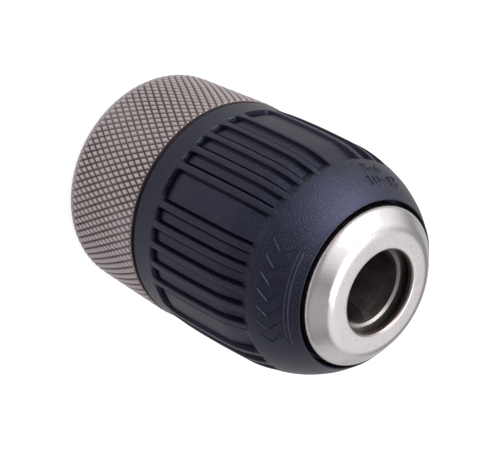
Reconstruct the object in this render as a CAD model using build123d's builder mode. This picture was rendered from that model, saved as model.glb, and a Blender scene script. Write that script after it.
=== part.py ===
"""Two-sleeve keyless drill chuck for 13 mm shanks, jaws fully open.

The chuck stands on the rear face of its body: +Z is the chuck's axis, nose up, and the origin is the
centre of the rear face. All sizes are in millimetres.
"""

import os
from math import cos, floor, radians, sin, tan

from build123d import *

# --- overall sizes -------------------------------------------------------------------------------
chuck_length = 61.0  # rear face of the body to the face of the nose cap
sleeve_radius = 21.5  # crest of the rear sleeve's knurl
bore_radius = 6.6  # takes a 13 mm shank
grip_min_radius = 1.0  # half of the smallest shank the closed jaws hold

# --- clearances ----------------------------------------------------------------------------------
sliding_clearance = 0.1  # jaws in their bores, front sleeve on the body's nose
rolling_clearance = 0.03  # balls in their raceways
cage_clearance = 0.06  # balls in the cage
key_clearance = 0.1  # drive ribs in the band's notches, each side
face_clearance = 0.2  # end float of the front sleeve
sleeve_gap = 0.4  # between the two sleeves
nut_saw_cut = 0.2  # between the two nut halves

# --- jaws ----------------------------------------------------------------------------------------
jaw_count = 3
jaw_first_azimuth = 25.0  # degrees from +X to the first jaw
jaw_angle = 15.0  # between a jaw's axis and the chuck's axis
jaw_radius = 3.5
jaw_length = 36.0
jaw_tip_thickness = 3.0  # gripping land to the back of the jaw, at the tip
jaw_tip_depth = 15.0  # cap face to the tips when open
jaw_open_clearance = 0.05  # gripping lands stand this far outside the bore when open
jaw_flank_angle = 60.0  # each side of the gripping land
jaw_flank_clearance = 0.05  # between a flank and its neighbour's when closed, each side
jaw_rear_chamfer = 0.8

# --- thread of nut and jaws ----------------------------------------------------------------------
thread_pitch = 2.0  # along the chuck's axis
nut_crest_depth = 0.7  # nut thread's crest below the jaw's back
nut_root_gap = 0.15  # nut thread's root above the jaw's back
nut_root_half_width = 0.4
thread_flank_slope = 0.44  # half width gained per depth
jaw_root_gap = 0.15  # jaw groove's floor below the nut's crest
thread_flank_clearance = 0.2

# --- nut, band and bearing -----------------------------------------------------------------------
nut_setback = 13.0  # open jaw tips to the rear face of the nut
nut_length = 7.0
nut_radius = 17.0
nut_flange_length = 1.5
nut_groove_clearance = 0.3
band_wall = 1.4
drive_rib_count = 6
drive_rib_width = 3.0
drive_notch_depth = 3.0
drive_rib_depth = 15.0  # cap face to the front end of the ribs
ball_diameter = 2.381
ball_count = 20
ball_circle_radius = 17.0
raceway_depth = 0.2
race_thickness = 1.0
race_radius = 18.6
cage_thickness = 1.0
cage_inner_gap = 0.35
cage_outer_inset = 0.1
race_running_gap = 0.3

# --- body ----------------------------------------------------------------------------------------
register_radius = 15.0  # carries the thrust ring and the bearing
waist_radius = 16.4
waist_bottom = 17.4
tail_radius = 12.0
tail_chamfer = 0.8
nose_shoulder_radius = 14.0
nose_shoulder_top = 12.5  # cap face to the top of the shoulder
nose_radius = 12.6
nose_setback = 2.5  # cap face to the body's nose face
nose_chamfer = 1.4
mouth_chamfer = 0.4
thrust_ring_thickness = 3.5
socket_depth = 16.0
socket_radius = 5.755  # tapping size of a 1/2-20 UNF spindle thread
socket_chamfer = 0.7
screw_hole_radius = 3.2  # M6 retaining screw
screw_sink_radius = 5.6
web_thickness = 5.0  # between the spindle socket and the tool bore

# --- nose cap ------------------------------------------------------------------------------------
cap_sheet = 1.0
cap_skirt_top = 3.4  # below the cap's face
cap_skirt_length = 3.4
cap_hole_radius = 7.35
cap_hole_edge = 0.25
cap_flat_radius = 9.6  # where the flat face starts to turn down
cap_shoulder_bend = 3.0
cap_skirt_bend = 1.54
cap_slope = 45.0

# --- rear sleeve ---------------------------------------------------------------------------------
rear_sleeve_bottom = 0.6
rear_sleeve_length = 20.4
rear_sleeve_wall = 1.9
rear_sleeve_floor = 2.8
rear_sleeve_hub_radius = 14.0
rear_sleeve_hub_height = 6.4
rear_sleeve_corner = 1.0
rear_sleeve_rim_chamfer = 0.3

# --- front sleeve --------------------------------------------------------------------------------
front_sleeve_setback = 3.1  # cap face to the sleeve's rim
collar_inset = 0.2  # rear collar below the rear sleeve's radius
grip_inset = 0.25
grip_start = 8.0  # from the sleeve's rear edge
crown_mid_drop = 0.26
crown_end_drop = 0.9
dome_length = 7.8
dome_setback = 7.0  # cap face to the front end of the dome
dome_mid = (4.2, 2.09)  # along the axis and drop, from the grip's radius
dome_end_drop = 3.93
rim_corner = (3.35, 5.75)  # along the axis from the dome's end, and drop
rim_inner_radius = 14.33
rim_radius = 14.9
front_sleeve_wall = 2.4  # bearing chamber's wall, under the collar
web_bottom_depth = 10.0  # cap face to the underside of the front web
web_shoulder_radius = 16.6
chamber_taper_depth = 18.5
slot_bottom = 5.1  # from the sleeve's rear edge
slot_setback = 10.8  # cap face to the front end of the slots
slot_depth = 0.55
narrow_slot_angle = 7.0
narrow_slot_step = 10.0
narrow_slot_count = 4
wide_slot_angle = 16.7
slot_group_angle = 60.0

# --- places worked out from the sizes above ------------------------------------------------------
slope = tan(radians(jaw_angle))
along = cos(radians(jaw_angle))
tip_z = chuck_length - jaw_tip_depth
nose_z = chuck_length - nose_setback
land_radius = bore_radius + jaw_open_clearance
tip_radius = land_radius + jaw_tip_thickness
radial_travel = land_radius - grip_min_radius
axial_travel = radial_travel / slope
nut_bottom = tip_z - nut_setback
nut_top = nut_bottom + nut_length
ball_radius = ball_diameter / 2
front_race_bottom = nut_bottom - race_thickness
ball_z = front_race_bottom + raceway_depth - rolling_clearance - ball_radius
rear_race_top = ball_z - ball_radius - rolling_clearance + raceway_depth
rear_race_bottom = rear_race_top - race_thickness
thrust_ring_bottom = rear_race_bottom - thrust_ring_thickness
rear_sleeve_top = rear_sleeve_bottom + rear_sleeve_length
front_sleeve_bottom = rear_sleeve_top + sleeve_gap
front_sleeve_top = chuck_length - front_sleeve_setback
chamber_radius = sleeve_radius - front_sleeve_wall
web_bottom = chuck_length - web_bottom_depth
cap_skirt_bottom = chuck_length - cap_skirt_top - cap_skirt_length
web_top = cap_skirt_bottom - face_clearance
band_radius = nut_radius + band_wall
band_bottom = nut_bottom + nut_flange_length
notch_bottom = nut_top - drive_notch_depth
jaw_azimuths = [jaw_first_azimuth + 360 / jaw_count * index for index in range(jaw_count)]


def back_radius(z):
    """Radius of the line on which the jaws' backs slide, at height z."""
    return tip_radius + (tip_z - z) * slope


def on_jaw_axis(z):
    """Point on the axis of the jaw at azimuth 0, where its back is at height z."""
    return Vector(
        back_radius(z) - jaw_radius * along,
        0,
        z - jaw_radius * sin(radians(jaw_angle)),
    )


jaw_direction = Vector(-sin(radians(jaw_angle)), 0, along)

# --- bores for the jaws: three inclined rods, cut from the body and the thrust ring --------------
with BuildPart() as jaw_bore:
    with BuildSketch(Plane(on_jaw_axis(0), x_dir=(0, 1, 0), z_dir=jaw_direction)):
        Circle(jaw_radius + sliding_clearance)
    extrude(amount=(nose_z + jaw_radius) / along)


def jaw_bores():
    """The three jaw bores as copies about the chuck's axis."""
    return [jaw_bore.part.rotate(Axis.Z, azimuth) for azimuth in jaw_azimuths]


# --- body: turned steel with the spindle socket, tool bore and nut groove ------------------------
groove_bottom = nut_bottom - nut_groove_clearance
groove_top = nut_top + nut_groove_clearance
groove_depth = nut_crest_depth / along + nut_groove_clearance
shoulder_top = chuck_length - nose_shoulder_top
bore_bottom = socket_depth + web_thickness
sink_depth = screw_sink_radius - screw_hole_radius

with BuildPart() as body:
    with BuildSketch(Plane.XZ):
        with BuildLine():
            Polyline(
                (screw_hole_radius, socket_depth),
                (socket_radius, socket_depth),
                (socket_radius, socket_chamfer),
                (socket_radius + socket_chamfer, 0),
                (tail_radius - tail_chamfer, 0),
                (tail_radius, tail_chamfer),
                (tail_radius, waist_bottom - (waist_radius - tail_radius)),
                (waist_radius, waist_bottom),
                (waist_radius, thrust_ring_bottom),
                (register_radius, thrust_ring_bottom),
                (register_radius, groove_bottom),
                (back_radius(groove_bottom) - groove_depth, groove_bottom),
                (back_radius(groove_top) - groove_depth, groove_top),
                (nose_shoulder_radius, groove_top),
                (nose_shoulder_radius, shoulder_top),
                (nose_radius, shoulder_top),
                (nose_radius, nose_z - nose_chamfer),
                (nose_radius - nose_chamfer, nose_z),
                (bore_radius + mouth_chamfer, nose_z),
                (bore_radius, nose_z - mouth_chamfer),
                (bore_radius, bore_bottom),
                (screw_sink_radius, bore_bottom),
                (screw_hole_radius, bore_bottom - sink_depth),
                close=True,
            )
        make_face()
    revolve(axis=Axis.Z)
    add(jaw_bores(), mode=Mode.SUBTRACT)
body.part.label = "body"

# --- thrust ring: pressed on the register against the waist's shoulder ---------------------------
with BuildPart() as thrust_ring:
    with BuildSketch(Plane.XY.offset(thrust_ring_bottom)):
        Circle(race_radius)
        Circle(register_radius, mode=Mode.SUBTRACT)
    extrude(amount=thrust_ring_thickness)
    chamfer(thrust_ring.edges().group_by(Axis.Z)[0].sort_by(SortBy.RADIUS)[-1], length=0.5)
    add(jaw_bores(), mode=Mode.SUBTRACT)
thrust_ring.part.label = "thrust_ring"


# --- thrust bearing: two grooved races, a cage and its balls -------------------------------------
def race(bottom, inner_radius):
    """A flat washer with the ball track turned into the side that faces the balls."""
    with BuildPart() as washer:
        with BuildSketch(Plane.XY.offset(bottom)):
            Circle(race_radius)
            Circle(inner_radius, mode=Mode.SUBTRACT)
        extrude(amount=race_thickness)
        with BuildSketch(Plane.XZ):
            with Locations((ball_circle_radius, ball_z)):
                Circle(ball_radius + rolling_clearance)
        revolve(axis=Axis.Z, mode=Mode.SUBTRACT)
    return washer.part


rear_race = race(rear_race_bottom, register_radius)
rear_race.label = "rear_race"
front_race = race(front_race_bottom, register_radius + race_running_gap)
front_race.label = "front_race"

with BuildPart() as ball_cage:
    with BuildSketch(Plane.XY.offset(ball_z - cage_thickness / 2)):
        Circle(race_radius - cage_outer_inset)
        Circle(register_radius + cage_inner_gap, mode=Mode.SUBTRACT)
        with PolarLocations(ball_circle_radius, ball_count):
            Circle(ball_radius + cage_clearance, mode=Mode.SUBTRACT)
    extrude(amount=cage_thickness)
ball_cage.part.label = "ball_cage"


def bearing_ball(azimuth):
    """One ball of the bearing, in its pocket of the cage."""
    with BuildPart() as ball:
        with Locations(Location(Vector(ball_circle_radius, 0, ball_z).rotate(Axis.Z, azimuth))):
            Sphere(ball_radius)
    return ball.part


# --- nut: a ring with a conical inside thread, cut in two to go round the body -------------------
thread_runout = 2 * thread_pitch  # the cutter starts and ends this far outside the nut
thread_start = nut_bottom - thread_runout
thread_bottom_depth = nut_crest_depth + nut_root_gap  # deeper than the crest, for a clean cut

with BuildPart() as nut:
    with BuildSketch(Plane.XY.offset(nut_bottom)):
        Circle(band_radius)
    extrude(amount=nut_flange_length)
    with BuildSketch(Plane.XY.offset(nut_bottom)):
        Circle(nut_radius)
    extrude(amount=nut_length)
    with BuildLine() as thread_path:
        Helix(
            thread_pitch / along,
            nut_length + 2 * thread_runout,
            back_radius(thread_start),
            center=(0, 0, thread_start),
            cone_angle=-jaw_angle,
        )
    thread_normal = Vector(along, 0, sin(radians(jaw_angle)))
    thread_origin = Vector(back_radius(thread_start), 0, thread_start)
    with BuildSketch(Plane(thread_origin, x_dir=thread_normal, z_dir=(0, 1, 0))):
        wide_half = nut_root_half_width + thread_flank_slope * (nut_root_gap + thread_bottom_depth)
        with BuildLine():
            Polyline(
                (nut_root_gap, -nut_root_half_width),
                (nut_root_gap, nut_root_half_width),
                (-thread_bottom_depth, wide_half),
                (-thread_bottom_depth, -wide_half),
                close=True,
            )
        make_face()
    sweep(path=thread_path.line, is_frenet=True, mode=Mode.SUBTRACT)
    with BuildSketch(Plane.XZ):
        with BuildLine():
            Polyline(
                (0, nut_bottom),
                (back_radius(nut_bottom) - nut_crest_depth / along, nut_bottom),
                (back_radius(nut_top) - nut_crest_depth / along, nut_top),
                (0, nut_top),
                close=True,
            )
        make_face()
    revolve(axis=Axis.Z, mode=Mode.SUBTRACT)


def nut_half(side):
    """Half of the nut, with half of the saw cut taken off its joint face."""
    with BuildPart() as half:
        add(nut.part)
        split(bisect_by=Plane.XZ.offset(side * nut_saw_cut / 2), keep=Keep.TOP if side > 0 else Keep.BOTTOM)
    return half.part


nut_half_a = nut_half(1)
nut_half_a.label = "nut_half_a"
nut_half_b = nut_half(-1)
nut_half_b.label = "nut_half_b"

# --- band: pressed over the nut halves, notched for the sleeve's drive ribs ----------------------
with BuildPart() as nut_band:
    with BuildSketch(Plane.XY.offset(band_bottom)):
        Circle(band_radius)
        Circle(nut_radius, mode=Mode.SUBTRACT)
    extrude(amount=nut_top - band_bottom)
    with BuildSketch(Plane.XY.offset(notch_bottom)):
        with PolarLocations(band_radius, drive_rib_count):
            Rectangle(2 * band_wall + 1, drive_rib_width + 2 * key_clearance)
    extrude(amount=drive_notch_depth, mode=Mode.SUBTRACT)
nut_band.part.label = "nut_band"


# --- jaws: round rods with a gripping wedge at the tip and teeth on the back ---------------------
def tooth_groove():
    """One groove across a jaw's back, centred where the back is at height tip_z."""
    floor_depth = nut_crest_depth + jaw_root_gap
    open_half = thread_pitch / along / 2 - nut_root_half_width
    open_half += thread_flank_clearance - thread_flank_slope * nut_root_gap
    relief = jaw_radius / 2  # the cutter's part outside the jaw
    axis_x = tip_radius - back_radius(nut_top)
    with BuildPart() as groove:
        with BuildSketch(
            Plane((tip_radius, 0, tip_z), x_dir=(along, 0, sin(radians(jaw_angle))), z_dir=(0, -1, 0))
        ):
            with BuildLine():
                Polyline(
                    (-floor_depth, open_half - thread_flank_slope * floor_depth),
                    (relief, open_half + thread_flank_slope * relief),
                    (relief, -open_half - thread_flank_slope * relief),
                    (-floor_depth, -open_half + thread_flank_slope * floor_depth),
                    close=True,
                )
            make_face()
        revolve(axis=Axis((axis_x, 0, 0), (0, 0, 1)), revolution_arc=60)
        revolved = groove.part
    return revolved.rotate(Axis((axis_x, 0, 0), (0, 0, 1)), -30)


def jaw(azimuth):
    """A jaw fully open, its teeth cut to meet the nut's helix at this azimuth."""
    rear_z = tip_z - jaw_length * along
    apex_radius = radial_travel + jaw_flank_clearance / sin(radians(jaw_flank_angle))
    ridge_phase = thread_start + thread_pitch * (0.5 + azimuth / 360)
    first = floor((rear_z - ridge_phase) / thread_pitch)
    last = floor((nut_top + thread_pitch / 2 - ridge_phase) / thread_pitch)
    with BuildPart() as rod:
        with BuildSketch(Plane(on_jaw_axis(rear_z), x_dir=(0, 1, 0), z_dir=jaw_direction)):
            Circle(jaw_radius)
        extrude(amount=jaw_length + 2 * jaw_radius)
        chamfer(rod.edges().sort_by(Axis.Z)[0], length=jaw_rear_chamfer)
        split(bisect_by=Plane.XY.offset(tip_z), keep=Keep.BOTTOM)
        for side in (1, -1):
            flank = Plane(
                (apex_radius, 0, 0),
                x_dir=(0, 0, 1),
                z_dir=Vector(1, 0, 0).rotate(Axis.Z, side * (jaw_flank_angle - 90)),
            )
            split(bisect_by=flank, keep=Keep.TOP)
        split(bisect_by=Plane((land_radius, 0, 0), z_dir=(1, 0, 0)), keep=Keep.TOP)
        groove = tooth_groove()
        for index in range(first, last + 1):
            drop = tip_z - (ridge_phase + index * thread_pitch)
            add(groove.moved(Location((drop * slope, 0, -drop))), mode=Mode.SUBTRACT)
    return rod.part.rotate(Axis.Z, azimuth)


# --- nose cap: drawn sheet steel cup, pressed on the body's nose ---------------------------------
with BuildPart() as nose_cap:
    with BuildSketch(Plane.XZ):
        with BuildLine():
            face_line = Line((cap_hole_radius, chuck_length), (cap_flat_radius, chuck_length))
            shoulder = JernArc(face_line @ 1, (1, 0), cap_shoulder_bend, -cap_slope)
            skirt_radius = nose_radius + cap_sheet
            bend_start_radius = skirt_radius - cap_skirt_bend * (1 - cos(radians(90 - cap_slope)))
            cone_run = bend_start_radius - (shoulder @ 1).X
            cone = Line(shoulder @ 1, (shoulder @ 1) + Vector(cone_run, -cone_run * tan(radians(cap_slope))))
            bend = JernArc(cone @ 1, cone % 1, cap_skirt_bend, cap_slope - 90)
            Line(bend @ 1, (skirt_radius, cap_skirt_bottom))
            offset(amount=cap_sheet, side=Side.RIGHT)
        make_face()
    revolve(axis=Axis.Z)
    fillet(nose_cap.edges().group_by(Axis.Z)[-1].sort_by(SortBy.RADIUS)[0], radius=cap_hole_edge)
nose_cap.part.label = "nose_cap"

# --- rear sleeve: metal cup pressed on the body's tail, knurled outside --------------------------
shell_inner_radius = sleeve_radius - rear_sleeve_wall
with BuildPart() as rear_sleeve:
    with BuildSketch(Plane.XZ):
        with BuildLine():
            Polyline(
                (tail_radius, rear_sleeve_bottom),
                (sleeve_radius, rear_sleeve_bottom),
                (sleeve_radius, rear_sleeve_top),
                (shell_inner_radius, rear_sleeve_top),
                (shell_inner_radius, rear_sleeve_bottom + rear_sleeve_floor),
                (rear_sleeve_hub_radius, rear_sleeve_bottom + rear_sleeve_floor),
                (rear_sleeve_hub_radius, rear_sleeve_bottom + rear_sleeve_hub_height),
                (tail_radius, rear_sleeve_bottom + rear_sleeve_hub_height),
                close=True,
            )
        make_face()
    revolve(axis=Axis.Z)
    fillet(rear_sleeve.edges().group_by(Axis.Z)[0].sort_by(SortBy.RADIUS)[-1], radius=rear_sleeve_corner)
    chamfer(
        rear_sleeve.edges().group_by(Axis.Z)[-1].sort_by(SortBy.RADIUS)[-1],
        length=rear_sleeve_rim_chamfer,
    )
rear_sleeve.part.label = "rear_sleeve"

# --- front sleeve: moulded plastic, turned by hand, driving the nut through inside ribs ----------
collar_radius = sleeve_radius - collar_inset
grip_radius = sleeve_radius - grip_inset
grip_bottom = front_sleeve_bottom + grip_start
dome_top = chuck_length - dome_setback
dome_bottom = dome_top - dome_length
crown_middle = (grip_radius - crown_mid_drop, (grip_bottom + dome_bottom) / 2)
crown_end = (grip_radius - crown_end_drop, dome_bottom)
dome_middle = (grip_radius - dome_mid[1], dome_bottom + dome_mid[0])
dome_end = (grip_radius - dome_end_drop, dome_top)
rim_outer = (grip_radius - rim_corner[1], dome_top + rim_corner[0])


def sleeve_outline(depth):
    """Outer outline of the front sleeve from rear to rim, set inward by depth."""
    inward = Vector(depth, 0)
    start = Line((collar_radius - depth, front_sleeve_bottom), (grip_radius - depth, grip_bottom))
    crown = ThreePointArc(start @ 1, Vector(crown_middle) - inward, Vector(crown_end) - inward)
    dome = ThreePointArc(crown @ 1, Vector(dome_middle) - inward, Vector(dome_end) - inward)
    return Line(dome @ 1, Vector(rim_outer) - inward)


def slot_cutter(angle):
    """A slot's hollow centred on azimuth 0: what lies outside its floor, over its length."""
    low = front_sleeve_bottom + slot_bottom
    high = chuck_length - slot_setback
    with BuildPart() as cutter:
        with BuildSketch(Plane.XZ) as hollow:
            with BuildLine():
                edge = sleeve_outline(slot_depth)
                outside = sleeve_radius + 1
                Polyline(
                    edge @ 1,
                    (outside, (edge @ 1).Y),
                    (outside, front_sleeve_bottom),
                    (collar_radius - slot_depth, front_sleeve_bottom),
                )
            make_face()
            with Locations((outside / 2, (low + high) / 2)):
                Rectangle(2 * outside, high - low, mode=Mode.INTERSECT)
        revolve(axis=Axis.Z, revolution_arc=angle)
    return cutter.part.rotate(Axis.Z, angle / 2 if cutter.part.center().Y < 0 else -angle / 2)


with BuildPart() as front_sleeve:
    with BuildSketch(Plane.XZ):
        with BuildLine():
            edge = sleeve_outline(0)
            Polyline(
                edge @ 1,
                (rim_radius, front_sleeve_top),
                (rim_inner_radius, front_sleeve_top),
                (rim_inner_radius, web_top),
                (nose_radius + sliding_clearance, web_top),
                (nose_radius + sliding_clearance, web_bottom),
                (web_shoulder_radius, web_bottom),
                (chamber_radius, chuck_length - chamber_taper_depth),
                (chamber_radius, front_sleeve_bottom),
                (collar_radius, front_sleeve_bottom),
            )
        make_face()
    revolve(axis=Axis.Z)
    with BuildSketch(Plane.XY.offset(notch_bottom + face_clearance)):
        rib_inner = nut_radius + sliding_clearance
        rib_depth = chamber_radius - rib_inner + front_sleeve_wall / 4
        with PolarLocations(rib_inner + rib_depth / 2, drive_rib_count):
            Rectangle(rib_depth, drive_rib_width)
    extrude(amount=chuck_length - drive_rib_depth - notch_bottom - face_clearance)
    wide_slot = slot_cutter(wide_slot_angle)
    narrow_slot = slot_cutter(narrow_slot_angle)
    for group in range(round(360 / slot_group_angle)):
        centre = -90 + group * slot_group_angle
        add(wide_slot.rotate(Axis.Z, centre), mode=Mode.SUBTRACT)
        for index in range(narrow_slot_count):
            offset_angle = slot_group_angle / 2 + (index - (narrow_slot_count - 1) / 2) * narrow_slot_step
            add(narrow_slot.rotate(Axis.Z, centre + offset_angle), mode=Mode.SUBTRACT)
front_sleeve.part.label = "front_sleeve"

# --- write every piece ---------------------------------------------------------------------------
pieces = [
    body.part,
    thrust_ring.part,
    rear_race,
    ball_cage.part,
    front_race,
    nut_half_a,
    nut_half_b,
    nut_band.part,
    nose_cap.part,
    rear_sleeve.part,
    front_sleeve.part,
]
for index, azimuth in enumerate(jaw_azimuths):
    piece = jaw(azimuth)
    piece.label = f"jaw_{index + 1}"
    pieces.append(piece)
for index in range(ball_count):
    piece = bearing_ball(360 / ball_count * index)
    piece.label = f"bearing_ball_{index + 1:02d}"
    pieces.append(piece)

os.makedirs("parts", exist_ok=True)
for piece in pieces:
    export_step(piece, f"parts/{piece.label}.step")

closing_turns = axial_travel / thread_pitch
print(f"jaw travel {axial_travel / along:.4f} mm along the bore, {closing_turns:.4f} turns of the sleeve")
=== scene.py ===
import math

import bpy
import numpy as np
from mathutils import Matrix, Vector


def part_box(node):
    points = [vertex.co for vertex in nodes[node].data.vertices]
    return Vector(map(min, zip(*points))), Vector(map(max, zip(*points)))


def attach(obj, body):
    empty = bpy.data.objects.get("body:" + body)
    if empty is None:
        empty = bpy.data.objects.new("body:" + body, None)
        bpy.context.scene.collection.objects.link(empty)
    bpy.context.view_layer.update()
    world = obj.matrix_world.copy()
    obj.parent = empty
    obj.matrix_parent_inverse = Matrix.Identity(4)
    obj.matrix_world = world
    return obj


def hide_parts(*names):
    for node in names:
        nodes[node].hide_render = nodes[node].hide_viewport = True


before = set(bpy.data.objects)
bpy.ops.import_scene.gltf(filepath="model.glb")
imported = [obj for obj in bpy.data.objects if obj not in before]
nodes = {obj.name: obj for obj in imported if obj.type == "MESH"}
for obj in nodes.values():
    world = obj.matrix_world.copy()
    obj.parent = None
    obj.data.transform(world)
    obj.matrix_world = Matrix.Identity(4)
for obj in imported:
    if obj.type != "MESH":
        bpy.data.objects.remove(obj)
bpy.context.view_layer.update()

MM = 0.001

# Chuck body: one steel turning that carries everything else. It is turned from bar, bored for the
# shank and the three jaws, and only its chamfered mouth and dark bore show inside the nose cap.


def shader_group(name, inputs, outputs):
    """A new node group with its named sockets; returns the group and its input and output nodes."""
    group = bpy.data.node_groups.new(name, "ShaderNodeTree")
    for label, kind, value in inputs:
        socket = group.interface.new_socket(label, in_out="INPUT", socket_type=kind)
        socket.default_value = value
    for label, kind in outputs:
        group.interface.new_socket(label, in_out="OUTPUT", socket_type=kind)
    return group, group.nodes.new("NodeGroupInput"), group.nodes.new("NodeGroupOutput")


def put(tree, kind, **settings):
    """Adds a node and sets the properties that are named."""
    node = tree.nodes.new(kind)
    for key, value in settings.items():
        setattr(node, key, value)
    return node


def mathe(tree, operation, first, second=0.0, clamp=False):
    """A Math node whose inputs are sockets or plain numbers; returns its output socket."""
    node = put(tree, "ShaderNodeMath", operation=operation, use_clamp=clamp)
    for socket, value in zip(node.inputs, (first, second)):
        if hasattr(value, "links"):
            tree.links.new(value, socket)
        else:
            socket.default_value = value
    return node.outputs[0]


def ramp(tree, value, stops):
    """A colour ramp over (position, grey or colour) stops; returns its colour socket."""
    node = put(tree, "ShaderNodeValToRGB")
    elements = node.color_ramp.elements
    while len(elements) < len(stops):
        elements.new(0.5)
    for element, (position, shade) in zip(elements, stops):
        element.position = position
        grey = isinstance(shade, (int, float))
        element.color = (shade, shade, shade, 1.0) if grey else (*shade, 1.0)
    tree.links.new(value, node.inputs[0])
    return node.outputs[0]


def noise(tree, vector, scale, detail=4.0, roughness=0.55):
    """A noise texture over a vector socket; returns its value socket."""
    node = put(tree, "ShaderNodeTexNoise")
    node.inputs["Scale"].default_value = scale
    node.inputs["Detail"].default_value = detail
    node.inputs["Roughness"].default_value = roughness
    tree.links.new(vector, node.inputs["Vector"])
    return node.outputs[0]


def blend_colour(tree, factor, first, second):
    """Mixes two colours, each a socket or a plain colour, by a factor socket or number."""
    node = put(tree, "ShaderNodeMix", data_type="RGBA")
    for socket, value in ((node.inputs[0], factor), (node.inputs[6], first), (node.inputs[7], second)):
        if hasattr(value, "links"):
            tree.links.new(value, socket)
        elif isinstance(value, (int, float)):
            socket.default_value = value
        else:
            socket.default_value = (*value, 1.0)
    return node.outputs[2]


def axis_distance(tree, coordinates):
    """Distance from the chuck's axis and height along it, in metres, from a coordinate node."""
    split = put(tree, "ShaderNodeSeparateXYZ")
    tree.links.new(coordinates.outputs["Object"], split.inputs[0])
    squares = [mathe(tree, "POWER", socket, 2.0) for socket in split.outputs[:2]]
    return mathe(tree, "SQRT", mathe(tree, "ADD", *squares)), split.outputs[2]


def tool_marks_group():
    """Fine concentric lines of a turned surface, from the radius and height about the chuck's axis."""
    group, enter, leave = shader_group(
        "Turning marks",
        [("Lines per mm", "NodeSocketFloat", 6.0), ("Unevenness", "NodeSocketFloat", 0.5)],
        [("Height", "NodeSocketFloat"), ("Shade", "NodeSocketFloat")],
    )
    coordinates = put(group, "ShaderNodeTexCoord")
    radius, height = axis_distance(group, coordinates)
    flat = put(group, "ShaderNodeCombineXYZ")
    scale = mathe(group, "MULTIPLY", enter.outputs[0], 1 / MM)
    group.links.new(mathe(group, "MULTIPLY", radius, scale), flat.inputs[0])
    group.links.new(mathe(group, "MULTIPLY", height, scale), flat.inputs[1])
    lines = noise(group, flat.outputs[0], 1.0, 3.0, 0.6)
    patches = noise(group, coordinates.outputs["Object"], 180.0, 3.0)
    uneven = mathe(group, "MULTIPLY", mathe(group, "SUBTRACT", patches, 0.5), enter.outputs[1])
    group.links.new(lines, leave.inputs[0])
    group.links.new(mathe(group, "ADD", lines, uneven), leave.inputs[1])
    return group


turning_marks = tool_marks_group()


def place_group(tree, group, **values):
    """Places a group in a material; a value's name is its socket's name with _ for spaces."""
    node = put(tree, "ShaderNodeGroup", node_tree=group)
    for key, value in values.items():
        node.inputs[key.replace("_", " ")].default_value = value
    return node


def finish_material(name):
    """A new material with only its shader and output; returns the material, its tree and the shader."""
    material = bpy.data.materials.new(name)
    material.use_nodes = True
    tree = material.node_tree
    tree.nodes.clear()
    shader = tree.nodes.new("ShaderNodeBsdfPrincipled")
    output = tree.nodes.new("ShaderNodeOutputMaterial")
    tree.links.new(shader.outputs[0], output.inputs[0])
    return material, tree, shader


def bump_into(tree, shader, height, distance, strength=1.0):
    """Feeds a height socket to the shader's normal through a Bump node; distance is in metres."""
    bump = put(tree, "ShaderNodeBump")
    bump.inputs["Strength"].default_value = strength
    bump.inputs["Distance"].default_value = distance
    tree.links.new(height, bump.inputs["Height"])
    tree.links.new(bump.outputs[0], shader.inputs["Normal"])


def turned_steel(name, dark, light, roughness, lines=6.0, marks=0.000006):
    """Turned or ground steel between two shades, with its tool marks in colour, gloss and relief."""
    material, tree, shader = finish_material(name)
    group = place_group(tree, turning_marks, Lines_per_mm=lines, Unevenness=0.8)
    colour = ramp(tree, group.outputs["Shade"], [(0.3, dark), (0.7, light)])
    tree.links.new(colour, shader.inputs["Base Color"])
    gloss = ramp(tree, group.outputs["Shade"], [(0.25, roughness * 0.8), (0.75, roughness * 1.3)])
    tree.links.new(gloss, shader.inputs["Roughness"])
    shader.inputs["Metallic"].default_value = 1.0
    bump_into(tree, shader, group.outputs["Height"], marks)
    return material


def dress(node_name, material):
    """Gives a carried-over CAD node its material."""
    mesh = nodes[node_name].data
    mesh.materials.clear()
    mesh.materials.append(material)


dress("body", turned_steel("body_steel", (0.27, 0.24, 0.24), (0.42, 0.385, 0.375), 0.46))

# Thrust ring and ball bearing: ground washers, a stamped brass cage and polished balls that sit
# round the body behind the nut and take the thrust of the closed jaws.

bearing_steel = turned_steel("bearing_steel", (0.42, 0.42, 0.44), (0.58, 0.58, 0.60), 0.22, lines=9.0)
for name in ("thrust_ring", "rear_race", "front_race"):
    dress(name, bearing_steel)
dress("ball_cage", turned_steel("cage_brass", (0.52, 0.38, 0.16), (0.74, 0.58, 0.28), 0.30, lines=3.0))

ball_polish = turned_steel("ball_polish", (0.66, 0.66, 0.68), (0.74, 0.74, 0.76), 0.07, 2.0, 0.000001)
for name in nodes:
    if name.startswith("bearing_ball"):
        dress(name, ball_polish)

# Split nut and its band: two tapped steel halves held together by a pressed sheet ring, hidden
# inside the front sleeve.

nut_steel = turned_steel("nut_steel", (0.24, 0.24, 0.25), (0.36, 0.36, 0.37), 0.38, lines=4.0)
dress("nut_half_a", nut_steel)
dress("nut_half_b", nut_steel)
dress("nut_band", turned_steel("band_steel", (0.44, 0.43, 0.40), (0.58, 0.57, 0.53), 0.30, lines=3.0))

# Jaws: hardened tool steel rods with ground gripping flats, blackened by the heat treatment.

jaw_steel = turned_steel("jaw_steel", (0.14, 0.14, 0.15), (0.30, 0.30, 0.31), 0.30, lines=5.0)
for name in ("jaw_1", "jaw_2", "jaw_3"):
    dress(name, jaw_steel)

# Rear sleeve: a turned steel cup pressed on the body's tail. Its outside is diamond knurled and
# matt nickel plated; its valleys are darker brown, partly deposits and partly painted shade.

KNURL_COUNT = 94  # diamonds round the sleeve
KNURL_PITCH = 2.66  # between two diamonds along the axis
KNURL_DEPTH = 0.28
KNURL_FLAT = 0.44  # share of the way from crest to valley that stays flat
KNURL_WALL = 0.52  # share that the sloping wall takes
KNURL_RUN_IN = 1.2  # over which the grooves reach full depth at the rear
KNURL_STEPS = 10  # mesh steps per diamond


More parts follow.
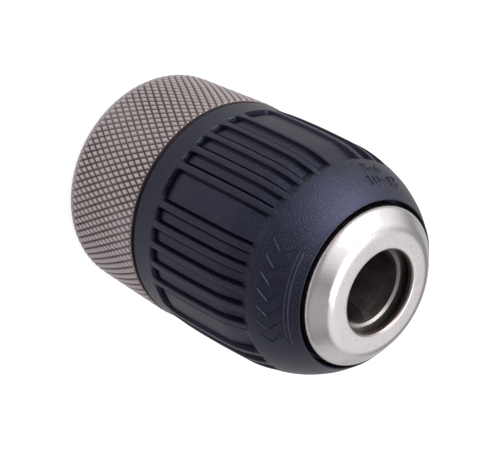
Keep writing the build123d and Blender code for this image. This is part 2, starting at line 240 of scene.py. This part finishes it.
def arc_points(centre, radius, start, end, count):
    """Points (radius, height) on an arc between two angles in degrees."""
    angles = np.radians(np.linspace(start, end, count))
    return [(centre[0] + radius * math.cos(a), centre[1] + radius * math.sin(a)) for a in angles]


def lathe(name, rows, segments, relief=None):
    """Turns a closed outline of (radius, height) rows in mm into a smooth mesh about the axis.

    relief gives how far each vertex lies below its row, from the azimuths and the row's number.
    """
    azimuths = np.linspace(0.0, 2.0 * math.pi, segments, endpoint=False)
    if relief is not None and hasattr(relief, "azimuths"):
        azimuths = relief.azimuths
        segments = len(azimuths)
    vertices = np.zeros((len(rows), segments, 3))
    for index, (radius, height) in enumerate(rows):
        radii = np.full(segments, radius)
        if relief is not None:
            radii = radii - relief(azimuths, index)
        vertices[index, :, 0] = radii * np.cos(azimuths)
        vertices[index, :, 1] = radii * np.sin(azimuths)
        vertices[index, :, 2] = height
    return grid_mesh(name, vertices)


def grid_mesh(name, vertices):
    """A closed mesh from rings of vertices in mm, the last ring joined to the first."""
    rings, segments = vertices.shape[:2]
    index = np.arange(rings * segments).reshape(rings, segments)
    next_ring = np.roll(index, -1, axis=0)
    turned, next_turned = np.roll(index, -1, axis=1), np.roll(next_ring, -1, axis=1)
    faces = np.stack([index, turned, next_turned, next_ring], axis=-1).reshape(-1, 4)
    mesh = bpy.data.meshes.new(name)
    mesh.from_pydata((vertices.reshape(-1, 3) * MM).tolist(), [], faces.tolist())
    mesh.validate()
    mesh.shade_smooth()
    mesh.set_sharp_from_angle(angle=math.radians(38.0))
    piece = bpy.data.objects.new(name, mesh)
    bpy.context.scene.collection.objects.link(piece)
    return piece


low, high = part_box("rear_sleeve")
sleeve_bottom, sleeve_top, sleeve_radius = low.z / MM, high.z / MM, high.x / MM
tail_radius = 12.0
hub_radius = 14.0
hub_top = sleeve_bottom + 6.4
floor_top = sleeve_bottom + 2.8
shell_radius = sleeve_radius - 1.9
corner = 1.0
rim = 0.15

knurl_rows = np.arange(sleeve_bottom + corner, sleeve_top - rim, KNURL_PITCH / 2 / KNURL_STEPS * 1.25)
rear_rows = (
    [(tail_radius, sleeve_bottom), (tail_radius + 0.4, sleeve_bottom)]
    + arc_points((sleeve_radius - corner, sleeve_bottom + corner), corner, -90, 0, 8)[:-1]
    + [(sleeve_radius, height) for height in knurl_rows]
    + arc_points((sleeve_radius - rim, sleeve_top - rim), rim, 0, 90, 6)
    + [(shell_radius + 0.3, sleeve_top), (shell_radius, sleeve_top - 0.3)]
    + [(shell_radius, floor_top), (hub_radius, floor_top)]
    + [(hub_radius, hub_top), (tail_radius, hub_top)]
)
rear_heights = np.array([height for radius, height in rear_rows])
rear_radii = np.array([radius for radius, height in rear_rows])


def step(value, start, end):
    """A smooth step from 0 to 1."""
    t = np.clip((value - start) / (end - start), 0.0, 1.0)
    return t * t * (3 - 2 * t)


def knurl_relief(azimuths, row):
    """Depth of the crossed V grooves at a row, fading at the ends and off inside the sleeve."""
    if rear_radii[row] < sleeve_radius - corner * 0.6 or rear_heights[row] > sleeve_top - 0.01:
        return 0.0
    turns = azimuths / (2 * math.pi) * KNURL_COUNT
    rise = rear_heights[row] / KNURL_PITCH
    groove_a = np.abs((turns + rise) % 1.0 - 0.5) * 2.0
    groove_b = np.abs((turns - rise) % 1.0 - 0.5) * 2.0
    deepest = np.maximum(groove_a, groove_b)
    wall = np.clip((deepest - KNURL_FLAT) / KNURL_WALL, 0.0, 1.0)
    fade = step(rear_heights[row], sleeve_bottom + corner * 0.4, sleeve_bottom + corner + KNURL_RUN_IN)
    return KNURL_DEPTH * wall * (0.25 + 0.75 * fade)


rear_sleeve = lathe("rear_sleeve_knurled", rear_rows, KNURL_COUNT * KNURL_STEPS, knurl_relief)

material, tree, shader = finish_material("knurled_nickel")
coordinates = put(tree, "ShaderNodeTexCoord")
radius = axis_distance(tree, coordinates)[0]
depth = mathe(tree, "MULTIPLY", mathe(tree, "SUBTRACT", sleeve_radius * MM, radius), 1 / MM)
valley = mathe(tree, "DIVIDE", depth, KNURL_DEPTH, clamp=True)
stain = noise(tree, coordinates.outputs["Object"], 90.0, 5.0, 0.62)
speck = noise(tree, coordinates.outputs["Object"], 2600.0, 2.0, 0.6)
uneven = mathe(tree, "ADD", mathe(tree, "MULTIPLY", stain, 0.9), 0.62)
# Darker brown the deeper into the valleys: partly deposits, partly painted shade.
deposit_and_painted_shade = mathe(tree, "MULTIPLY", valley, uneven, clamp=True)
specked = mathe(tree, "MULTIPLY", speck, 0.5)
plate = blend_colour(tree, specked, (0.70, 0.612, 0.634), (0.84, 0.748, 0.770))
wear_and_painted_dark = blend_colour(tree, deposit_and_painted_shade, plate, (0.140, 0.104, 0.098))
tree.links.new(wear_and_painted_dark, shader.inputs["Base Color"])
tree.links.new(ramp(tree, deposit_and_painted_shade, [(0.0, 0.40), (1.0, 0.66)]), shader.inputs["Roughness"])
shader.inputs["Metallic"].default_value = 1.0
bump_into(tree, shader, speck, 0.00003, 0.8)
rear_sleeve.data.materials.append(material)
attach(rear_sleeve, "root")
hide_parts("rear_sleeve")

# Front sleeve: black glass-filled nylon, injection moulded, turned by hand to open and close the
# jaws. Six wide and twenty-four narrow slots are sunk in the grip, each with a floor of its own.

low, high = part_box("front_sleeve")
grip_bottom = low.z / MM
SLOT_LOW = grip_bottom + 5.1
SLOT_HIGH = SLOT_LOW + 23.7
SLOT_FLOOR = 0.52
WIDE_HALF = 8.3  # degrees
NARROW_HALF = 3.45
NARROW_CENTRES = (15.0, 25.0)  # degrees either side of a wide slot
SLOT_CORNER = 1.22  # at a slot's rear end
SLOT_WALL = 0.11  # width of the steep wall
GUTTER_DEPTH = 0.55  # below the floor, along the wall
GUTTER_PLACE, GUTTER_WIDTH = 0.22, 0.17
SHALLOW_GUTTER = 0.4  # share of the depth on the other wall
RAMP_LENGTH = 1.6
RIB_ROUNDING = 0.36  # from a slot's wall to the flat of the rib
RIB_DROP = 0.09
GROUP = 60.0
FACING = -90.0  # azimuth of the first wide slot
DEGREE = math.pi / 180 * 21.0  # mm per degree on the grip

outline_heights = grip_bottom + np.array(
    [0.0, 3.4, 7.8, 15.6, 19.6, 23.8, 25.6, 28.6, 30.6, 32.6, 34.2, 35.5, 36.25]
)
outline_radii = np.array(
    [21.3, 21.16, 21.24, 21.04, 20.82, 20.46, 20.10, 19.24, 18.49, 17.47, 16.50, 15.52, 14.93]
)


def grip_radius(heights):
    """The sleeve's outer radius over its ribs: a smooth curve through the outline's points."""
    slopes = np.gradient(outline_radii, outline_heights)
    spot = np.clip(np.searchsorted(outline_heights, heights) - 1, 0, len(outline_heights) - 2)
    span = outline_heights[spot + 1] - outline_heights[spot]
    t = np.clip((heights - outline_heights[spot]) / span, 0.0, 1.0)
    return (
        (2 * t**3 - 3 * t**2 + 1) * outline_radii[spot]
        + (t**3 - 2 * t**2 + t) * span * slopes[spot]
        + (3 * t**2 - 2 * t**3) * outline_radii[spot + 1]
        + (t**3 - t**2) * span * slopes[spot + 1]
    )


def slot_centre(local):
    """Centre of the slot nearest to each azimuth in degrees within a group."""
    inner, outmost = NARROW_CENTRES
    centres = np.array([-outmost, -inner, 0.0, inner, outmost])
    reach = np.array([NARROW_HALF, NARROW_HALF, WIDE_HALF, NARROW_HALF, NARROW_HALF])
    return centres[np.argmin(np.abs(local[:, None] - centres) - reach, axis=1)]


def slot_depth(azimuths, height):
    """Depth of the slots below the ribs at one height, for azimuths in degrees."""
    local = (azimuths - FACING + GROUP / 2) % GROUP - GROUP / 2
    inside = WIDE_HALF - np.abs(local)
    for centre in NARROW_CENTRES:
        inside = np.maximum(inside, NARROW_HALF - np.abs(np.abs(local) - centre))
    side = inside * DEGREE
    rear = height - SLOT_LOW
    if rear < SLOT_CORNER:
        reach = np.clip(SLOT_CORNER - side, 0.0, None)
        side = np.where(side > 0, SLOT_CORNER - np.hypot(reach, SLOT_CORNER - rear), side)
    wall = step(side, 0.0, SLOT_WALL)
    floor = SLOT_FLOOR
    floor += 0.75 * (1 - step(rear, 0.72, 0.86))  # the gap behind the floor's end
    floor += 0.30 * (1 - step(rear, 0.8, 2.3))  # its rear end slopes down
    floor += 0.30 * step(rear, 17.0, 22.0)  # the floor runs straighter than the ribs
    ramp_start = SLOT_HIGH - RAMP_LENGTH
    if height > ramp_start:
        floor *= 1 - (height - ramp_start) / RAMP_LENGTH
    far_side = np.where(local - slot_centre(local) > 0, 1.0, SHALLOW_GUTTER)
    gutter = 0.0
    if height < ramp_start:
        gutter = GUTTER_DEPTH * far_side * np.exp(-((side - GUTTER_PLACE) / GUTTER_WIDTH) ** 2)
    rib_edge = np.clip(1.0 + side / RIB_ROUNDING, 0.0, 1.0) ** 2
    depth = np.maximum(wall * (floor + gutter), RIB_DROP * rib_edge * (side < 0))
    return np.where((height > SLOT_LOW) & (height < SLOT_HIGH), depth, 0.0)


def sleeve_azimuths():
    """Mesh azimuths in degrees, close together at each slot's walls."""
    walls = [WIDE_HALF] + [c + s * NARROW_HALF for c in NARROW_CENTRES for s in (-1, 1)]
    offsets = [-0.36, -0.26, -0.17, -0.09, -0.03, 0.0, 0.05, 0.1, 0.15, 0.22, 0.3, 0.4, 0.55, 0.75]
    near = np.array(offsets) / DEGREE
    found = {0.0, 4.0, 6.0, 30.0}
    for wall, inward in zip(walls, (-1, 1, -1, 1, -1)):
        found.update(round(wall + inward * offset, 4) for offset in near)
    half = sorted(a for a in found if a <= GROUP / 2)
    local = sorted({-a for a in half if 0 < a < GROUP / 2} | set(half))
    turns = [FACING + GROUP * group + a for group in range(6) for a in local]
    return np.array(turns)


def sleeve_heights():
    """Mesh heights, close together at the slots' ends."""
    end_wall = [-0.15, 0.0, 0.06, 0.12, 0.18, 0.26, 0.36, 0.5, 0.64]
    end_wall += [0.72, 0.76, 0.81, 0.86, 0.95, 1.1, 1.3]
    rear = SLOT_LOW + np.array(end_wall)
    sloping = SLOT_LOW + np.linspace(1.5, 4.0, 7)
    middle = np.concatenate([sloping, np.arange(SLOT_LOW + 4.9, SLOT_HIGH - 2.0, 0.9)])
    front_wall = [1.9, RAMP_LENGTH + 0.04, RAMP_LENGTH, 1.5, 1.1, 0.8, 0.5, 0.25, 0.06, 0.0]
    front = SLOT_HIGH - np.array(front_wall)
    collar = np.array([0.60, 1.0, 1.7, 2.5, 3.4, 4.3]) + grip_bottom
    dome = np.append(np.arange(SLOT_HIGH + 0.35, grip_bottom + 36.0, 0.45), grip_bottom + 36.25)
    return np.concatenate([collar, rear, middle, front, dome])


grip_azimuths = sleeve_azimuths()
outer = [(float(grip_radius(np.array([h]))[0]), float(h)) for h in sleeve_heights()]
rebate = [(20.0, grip_bottom), (20.0, grip_bottom + 0.50), (21.18, grip_bottom + 0.52)]
rim_inner = 14.62
LIP_EDGE = 0.16
cap_gap_floor = 54.0
nose_hole = 12.7
grip_rows = (
    rebate
    + outer
    + arc_points((rim_inner + LIP_EDGE, grip_bottom + 36.2), LIP_EDGE, 42, 180, 8)
    + [(rim_inner, cap_gap_floor), (nose_hole, cap_gap_floor), (nose_hole, 51.0), (16.6, 51.0)]
    + [(19.1, 42.5), (19.1, grip_bottom + 0.2), (19.3, grip_bottom)]
)


def slot_relief(azimuths, row):
    """Relief of the grip for the lathe: only the outer rows carry slots."""
    if row < len(rebate) or row >= len(rebate) + len(outer):
        return 0.0
    return slot_depth(np.degrees(azimuths), grip_rows[row][1])


slot_relief.azimuths = np.radians(grip_azimuths)
front_sleeve = lathe("front_sleeve_grip", grip_rows, len(grip_azimuths), slot_relief)


def moulded_grain_group():
    """Fine grain of a moulded or blasted surface, at two sizes, with sparse paler specks."""
    group, enter, leave = shader_group(
        "Moulded grain",
        [("Grain size mm", "NodeSocketFloat", 0.12), ("Cloud size mm", "NodeSocketFloat", 6.0)],
        [("Height", "NodeSocketFloat"), ("Speck", "NodeSocketFloat"), ("Cloud", "NodeSocketFloat")],
    )
    coordinates = put(group, "ShaderNodeTexCoord")
    sizes = [mathe(group, "DIVIDE", 1000.0, socket) for socket in enter.outputs[:2]]
    for size, output, detail in ((sizes[0], 0, 3.0), (sizes[1], 2, 4.0)):
        texture = put(group, "ShaderNodeTexNoise")
        texture.inputs["Detail"].default_value = detail
        group.links.new(coordinates.outputs["Object"], texture.inputs["Vector"])
        group.links.new(size, texture.inputs["Scale"])
        group.links.new(texture.outputs[0], leave.inputs[output])
        if output == 0:
            above = mathe(group, "SUBTRACT", texture.outputs[0], 0.60)
            speck = mathe(group, "MULTIPLY", above, 8.0, clamp=True)
            group.links.new(speck, leave.inputs[1])
    return group


moulded_grain = moulded_grain_group()
material, tree, shader = finish_material("black_nylon")
grain = place_group(tree, moulded_grain, Grain_size_mm=0.20, Cloud_size_mm=9.0)
base = blend_colour(tree, grain.outputs["Cloud"], (0.0030, 0.0028, 0.0042), (0.0055, 0.0052, 0.0075))
fibres = mathe(tree, "MULTIPLY", grain.outputs["Speck"], 0.6)
specked = blend_colour(tree, fibres, base, (0.11, 0.11, 0.14))
tree.links.new(specked, shader.inputs["Base Color"])
gloss = ramp(tree, grain.outputs["Height"], [(0.3, 0.27), (0.7, 0.38)])
tree.links.new(gloss, shader.inputs["Roughness"])
shader.inputs["Specular IOR Level"].default_value = 0.76
shader.inputs["Specular Tint"].default_value = (0.56, 0.59, 1.0, 1.0)
bump_into(tree, shader, grain.outputs["Height"], 0.00010, 1.0)
black_nylon = material
front_sleeve.data.materials.append(black_nylon)
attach(front_sleeve, "sleeve")
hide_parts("front_sleeve")

# Moulded marks on the nose of the front sleeve: thin raised strokes of the same nylon. A row of
# chevrons over a double-line arrow shows a way to turn. The plain figures only fill their place.

STROKE = 0.36
STROKE_STEP = 0.45  # mesh steps along a stroke
RAISED = 0.16
SUNK = 0.06  # how far a stroke's edges lie below the surface
CHEVRON_COUNT = 7
CHEVRON_STEP = 8.7  # degrees
CHEVRON_FIRST = 3.0
CHEVRON_REACH = 2.6
MARK_LOW, MARK_HIGH = grip_bottom + 30.35, grip_bottom + 33.85


def raised_stroke(points):
    """Vertices and faces of a raised line on the sleeve through (azimuth in degrees, height) points."""
    path = []
    for (a0, h0), (a1, h1) in zip(points, points[1:]):
        radius = float(grip_radius(np.array([(h0 + h1) / 2]))[0])
        length = math.hypot(math.radians(a1 - a0) * radius, h1 - h0)
        count = max(1, int(length / STROKE_STEP))
        path += [(a0 + (a1 - a0) * i / count, h0 + (h1 - h0) * i / count) for i in range(count)]
    path.append(points[-1])
    rows = []
    for i, (azimuth, height) in enumerate(path):
        radius = float(grip_radius(np.array([height]))[0])
        before, after = path[max(i - 1, 0)], path[min(i + 1, len(path) - 1)]
        run = Vector((math.radians(after[0] - before[0]) * radius, after[1] - before[1])).normalized()
        across = Vector((-run.y, run.x))
        for offset, lift in ((-1.0, -SUNK), (-0.55, RAISED), (0.55, RAISED), (1.0, -SUNK)):
            h = height + across.y * offset * STROKE / 2
            a = math.radians(FACING + azimuth) + across.x * offset * STROKE / 2 / radius
            r = float(grip_radius(np.array([h]))[0]) + lift
            rows.append((r * math.cos(a) * MM, r * math.sin(a) * MM, h * MM))
    faces = []
    for i in range(len(path) - 1):
        here, there = 4 * i, 4 * (i + 1)
        faces += [
            (here + k, here + (k + 1) % 4, there + (k + 1) % 4, there + k) for k in range(4)
        ]
    end = 4 * (len(path) - 1)
    faces += [(3, 2, 1, 0), (end, end + 1, end + 2, end + 3)]
    return rows, faces


def raised_marks(name, strokes):
    """One mesh of several raised strokes, in the sleeve's nylon."""
    vertices, faces = [], []
    for points in strokes:
        rows, quads = raised_stroke(points)
        faces += [tuple(v + len(vertices) for v in quad) for quad in quads]
        vertices += rows
    mesh = bpy.data.meshes.new(name)
    mesh.from_pydata(vertices, [], faces)
    mesh.validate()
    mesh.materials.append(black_nylon)
    piece = bpy.data.objects.new(name, mesh)
    bpy.context.scene.collection.objects.link(piece)
    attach(piece, "sleeve")


chevrons = []
middle = (MARK_LOW + MARK_HIGH) / 2
for number in range(CHEVRON_COUNT):
    start = CHEVRON_FIRST + CHEVRON_STEP * number
    tail, tip = start - CHEVRON_REACH, start + CHEVRON_REACH
    chevrons.append([(tail, MARK_LOW), (tip, middle), (tail, MARK_HIGH)])
arrow_low, arrow_high = MARK_HIGH + 0.55, MARK_HIGH + 1.05
arrow_end = CHEVRON_FIRST + CHEVRON_STEP * (CHEVRON_COUNT - 1) + 3.0
arrow = [
    [(0.0, arrow_low), (arrow_end - 4.0, arrow_low)],
    [(0.0, arrow_high), (arrow_end, arrow_high)],
    [(arrow_end, arrow_high), (arrow_end - 5.5, arrow_low - 1.1)],
]
raised_marks("release_marks", chevrons + arrow)

DIGITS = {
    "0": [(0.30, 0.0), (0.08, 0.14), (0.0, 0.5), (0.08, 0.86), (0.30, 1.0)]
    + [(0.52, 0.86), (0.6, 0.5), (0.52, 0.14), (0.30, 0.0)],
    "1": [(0.12, 0.80), (0.36, 1.0), (0.36, 0.0)],
    "3": [(0.02, 1.0), (0.56, 1.0), (0.24, 0.60), (0.54, 0.44)]
    + [(0.56, 0.16), (0.32, 0.0), (0.0, 0.12)],
    "6": [(0.50, 1.0), (0.14, 0.62), (0.0, 0.28), (0.16, 0.02)]
    + [(0.44, 0.02), (0.58, 0.28), (0.44, 0.54), (0.10, 0.50)],
    "-": [(0.10, 0.46), (0.50, 0.46)],
}  # strokes of a plain figure, one unit high
FIGURE_SPACING = 0.86  # of a figure's height


def figures(text, azimuth, baseline, size):
    """Raised strokes of a row of figures, read against the azimuth, with their tops to the rear."""
    per_mm = math.degrees(1.0 / float(grip_radius(np.array([baseline - size / 2]))[0]))
    strokes = []
    for number, figure in enumerate(text):
        left = FIGURE_SPACING * number
        strokes.append(
            [(azimuth - (left + x) * size * per_mm, baseline - y * size) for x, y in DIGITS[figure]]
        )
    return strokes


upper_row = figures("3-6", -64.0, grip_bottom + 31.7, 1.6)
lower_row = figures("10-13", -61.0, grip_bottom + 34.1, 1.8)
raised_marks("capacity_marks", upper_row + lower_row)

# Nose cap: a drawn sheet steel cup pressed on the body's nose, bright nickel plated. It keeps the
# front sleeve on. The lip of its hole is rougher and carries a painted dark brown reflection.

low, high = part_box("nose_cap")
cap_bottom, cap_face = low.z / MM, high.z / MM
CAP_SHEET = 1.0
CAP_RADIUS = 13.95
CAP_HOLE = 7.35
CAP_FLAT = 10.0
CONE_TILT = 40.0  # degrees from the face
SHOULDER_BEND = 3.0
SKIRT_BEND = 1.54
LIP = 0.52

tilt = math.radians(CONE_TILT)
tilt_sine, tilt_cosine = math.sin(tilt), math.cos(tilt)
cone_start = CAP_FLAT + SHOULDER_BEND * tilt_sine
cone_end = CAP_RADIUS - SKIRT_BEND * (1 - tilt_sine)
cone_drop = SHOULDER_BEND * (1 - tilt_cosine) + (cone_end - cone_start) * tilt_sine / tilt_cosine
bend_centre = (CAP_RADIUS - SKIRT_BEND, cap_face - cone_drop - SKIRT_BEND * tilt_cosine)
shoulder_centre = (CAP_FLAT, cap_face - SHOULDER_BEND)
cone_normal = 90.0 - CONE_TILT
outside = (
    arc_points((CAP_HOLE + LIP, cap_face - LIP), LIP, 180, 90, 8)
    + [(8.4, cap_face), (9.0, cap_face)]
    + arc_points(shoulder_centre, SHOULDER_BEND, 90, cone_normal, 14)
    + arc_points(bend_centre, SKIRT_BEND, cone_normal, 0, 9)
    + [(CAP_RADIUS, cap_bottom)]
)
inside = (
    [(CAP_RADIUS - CAP_SHEET, cap_bottom)]
    + arc_points(bend_centre, SKIRT_BEND - CAP_SHEET, 0, cone_normal, 5)
    + arc_points(shoulder_centre, SHOULDER_BEND - CAP_SHEET, cone_normal, 90, 8)
    + [(CAP_HOLE, cap_face - CAP_SHEET)]
)
nose_cap = lathe("nose_cap_plated", (outside + inside)[::-1], 256)

material, tree, shader = finish_material("bright_nickel")
grain = place_group(tree, moulded_grain, Grain_size_mm=0.45, Cloud_size_mm=5.0)
marks = place_group(tree, turning_marks, Lines_per_mm=5.0, Unevenness=0.4)
plate = blend_colour(tree, grain.outputs["Cloud"], (0.66, 0.61, 0.62), (0.81, 0.775, 0.785))
clouded = mathe(tree, "SUBTRACT", grain.outputs["Cloud"], 0.54)
tarnish = mathe(tree, "MULTIPLY", clouded, 4.0, clamp=True)
plate = blend_colour(tree, mathe(tree, "MULTIPLY", tarnish, 0.5), plate, (0.62, 0.47, 0.43))
pitted = mathe(tree, "MULTIPLY", grain.outputs["Speck"], 0.35)
wear_and_painted_dark = blend_colour(tree, pitted, plate, (0.40, 0.36, 0.34))
radius = axis_distance(tree, put(tree, "ShaderNodeTexCoord"))[0]
# A painted dark brown reflection on the lip of the hole, which is also made rougher there.
painted_lip_reflection = put(tree, "ShaderNodeMapRange", interpolation_type="SMOOTHSTEP")
painted_lip_reflection.inputs["From Min"].default_value = (CAP_HOLE + 0.10) * MM
painted_lip_reflection.inputs["From Max"].default_value = (CAP_HOLE + LIP * 0.85) * MM
painted_lip_reflection.inputs["To Min"].default_value = 0.80
painted_lip_reflection.inputs["To Max"].default_value = 0.0
tree.links.new(radius, painted_lip_reflection.inputs["Value"])
wear_and_painted_dark = blend_colour(tree, painted_lip_reflection.outputs[0], wear_and_painted_dark, (0.20, 0.145, 0.125))
tree.links.new(wear_and_painted_dark, shader.inputs["Base Color"])
polish = ramp(tree, grain.outputs["Height"], [(0.3, 0.13), (0.7, 0.24)])
dulled = mathe(tree, "ADD", polish, mathe(tree, "MULTIPLY", painted_lip_reflection.outputs[0], 0.22))
tree.links.new(dulled, shader.inputs["Roughness"])
shader.inputs["Metallic"].default_value = 1.0
fine_lines = mathe(tree, "MULTIPLY", marks.outputs["Height"], 0.4)
relief = mathe(tree, "ADD", grain.outputs["Height"], fine_lines)
bump_into(tree, shader, relief, 0.000018, 0.8)
nose_cap.data.materials.append(material)
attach(nose_cap, "root")
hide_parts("nose_cap")

# Floor: a plain wide pale sheet under the rear face. It is stage, not part of the chuck. It shows
# white to the camera and an even pale grey to reflections. Under the chuck itself a painted shadow
# makes it dark to the camera.

FLOOR_SIZE = 3.0
FLOOR_GLOW = 0.50  # seen by reflections and as light
FLOOR_SHOWN = 0.90  # seen by the camera, beside what the floor gets from the lamps
DARK_RADIUS, PALE_RADIUS = 0.0170, 0.0212  # metres; a painted shadow darkens the floor under the chuck
floor_mesh = bpy.data.meshes.new("floor")
half = FLOOR_SIZE / 2
corners = [(-half, -half, 0), (half, -half, 0), (half, half, 0), (-half, half, 0)]
floor_mesh.from_pydata(corners, [], [(0, 1, 2, 3)])
floor = bpy.data.objects.new("floor", floor_mesh)
bpy.context.scene.collection.objects.link(floor)
material = bpy.data.materials.new("pale_sheet")
material.use_nodes = True
tree = material.node_tree
tree.nodes.clear()
output = tree.nodes.new("ShaderNodeOutputMaterial")
diffuse = tree.nodes.new("ShaderNodeBsdfDiffuse")
coordinates = put(tree, "ShaderNodeTexCoord")
from_axis = put(tree, "ShaderNodeVectorMath", operation="LENGTH")
tree.links.new(coordinates.outputs["Object"], from_axis.inputs[0])
path = put(tree, "ShaderNodeLightPath")
shown = put(tree, "ShaderNodeMix", data_type="FLOAT")
tree.links.new(path.outputs["Is Camera Ray"], shown.inputs[0])
shown.inputs[2].default_value = FLOOR_GLOW
# A painted shadow: the floor seen by the camera is dark under the chuck and pale beyond it.
painted_shadow_under_chuck = put(tree, "ShaderNodeMapRange", interpolation_type="SMOOTHSTEP")
painted_shadow_under_chuck.inputs["From Min"].default_value = DARK_RADIUS
painted_shadow_under_chuck.inputs["From Max"].default_value = PALE_RADIUS
painted_shadow_under_chuck.inputs["To Max"].default_value = FLOOR_SHOWN
tree.links.new(from_axis.outputs["Value"], painted_shadow_under_chuck.inputs["Value"])
tree.links.new(painted_shadow_under_chuck.outputs[0], shown.inputs[3])
glow = put(tree, "ShaderNodeEmission")
glow.inputs[0].default_value = (1.0, 1.0, 1.0, 1.0)
tree.links.new(shown.outputs[0], glow.inputs[1])
shade = ramp(tree, path.outputs["Is Camera Ray"], [(0.0, 0.05), (1.0, 0.20)])
tree.links.new(shade, diffuse.inputs[0])
both = put(tree, "ShaderNodeAddShader")
tree.links.new(diffuse.outputs[0], both.inputs[0])
tree.links.new(glow.outputs[0], both.inputs[1])
tree.links.new(both.outputs[0], output.inputs[0])
floor_mesh.materials.append(material)

# Camera: looks down on the nose from the front, rolled as a chuck lying on its side is seen.

CAMERA_PLACE = Vector((0.0, -0.143205, 0.167352))
CAMERA_RIGHT = Vector((-0.46015, 0.61950, 0.63599))
CAMERA_UP = Vector((-0.88784, -0.32109, -0.32960))
camera_data = bpy.data.cameras.new("camera")
camera_data.lens = 79.34
camera_data.sensor_width = 36.0
camera_data.clip_start = 0.01
camera = bpy.data.objects.new("camera", camera_data)
bpy.context.scene.collection.objects.link(camera)
backward = CAMERA_RIGHT.cross(CAMERA_UP)
turn = Matrix((CAMERA_RIGHT, CAMERA_UP, backward)).transposed()
camera.matrix_world = Matrix.Translation(CAMERA_PLACE) @ turn.to_4x4()
bpy.context.scene.camera = camera

# Studio: a plain white room seen by the camera. It lights the chuck softly all round, a little more
# from four broad soft sides, with two large area lamps.

LAMP_AIM = 0.035  # height in metres of the point the lamps face


def toward(azimuth, elevation):
    """Unit vector from the chuck, from an azimuth and an elevation in degrees."""
    a, e = math.radians(azimuth), math.radians(elevation)
    return Vector((math.cos(e) * math.cos(a), math.cos(e) * math.sin(a), math.sin(e)))


def soft_lamp(name, azimuth, elevation, distance, size, watts):
    """A square lamp aimed at the chuck."""
    data = bpy.data.lights.new(name, "AREA")
    data.size = size
    data.energy = watts
    lamp = bpy.data.objects.new(name, data)
    bpy.context.scene.collection.objects.link(lamp)
    lamp.location = toward(azimuth, elevation) * distance
    aim = Vector((0.0, 0.0, LAMP_AIM)) - lamp.location
    lamp.rotation_euler = aim.to_track_quat("-Z", "Y").to_euler()
    lamp.visible_camera = False


soft_lamp("side_softbox", -160.0, 36.0, 0.55, 0.42, 2.2)
soft_lamp("top_softbox", 110.0, 84.0, 0.60, 0.40, 0.9)

ROOM_LIGHT = 0.34
ROOM_PATCHES = [
    (-165.0, 36.0, 30.0, 70.0, 0.80),
    (72.0, 55.0, 18.0, 38.0, 0.62),
    (45.0, 2.0, 10.0, 36.0, 0.35),
    (-18.0, 42.0, 12.0, 30.0, 0.12),
]  # azimuth, elevation, full within, none beyond, strength
world = bpy.data.worlds.new("white_room")
bpy.context.scene.world = world
world.use_nodes = True
tree = world.node_tree
tree.nodes.clear()
output = tree.nodes.new("ShaderNodeOutputWorld")
coordinates = put(tree, "ShaderNodeTexCoord")


def room_patch(azimuth, elevation, full, none, amount):
    """A soft round patch of the room: amount within an angle of its middle, falling to nothing."""
    facing = put(tree, "ShaderNodeVectorMath", operation="DOT_PRODUCT")
    facing.inputs[1].default_value = toward(azimuth, elevation)
    tree.links.new(coordinates.outputs["Generated"], facing.inputs[0])
    patch = put(tree, "ShaderNodeMapRange", interpolation_type="SMOOTHSTEP")
    patch.inputs["From Min"].default_value = math.cos(math.radians(none))
    patch.inputs["From Max"].default_value = math.cos(math.radians(full))
    patch.inputs["To Max"].default_value = amount
    tree.links.new(facing.outputs["Value"], patch.inputs["Value"])
    return patch.outputs[0]


strength = ROOM_LIGHT
for values in ROOM_PATCHES:
    strength = mathe(tree, "ADD", room_patch(*values), strength)
seen = put(tree, "ShaderNodeBackground")
seen.inputs[0].default_value = (1.0, 1.0, 1.0, 1.0)
lighting = put(tree, "ShaderNodeBackground")
lighting.inputs[0].default_value = (1.0, 1.0, 1.0, 1.0)
tree.links.new(strength, lighting.inputs[1])
path = put(tree, "ShaderNodeLightPath")
mix = put(tree, "ShaderNodeMixShader")
tree.links.new(path.outputs["Is Camera Ray"], mix.inputs[0])
tree.links.new(lighting.outputs[0], mix.inputs[1])
tree.links.new(seen.outputs[0], mix.inputs[2])
tree.links.new(mix.outputs[0], output.inputs[0])
bpy.context.scene.view_settings.view_transform = "Standard"
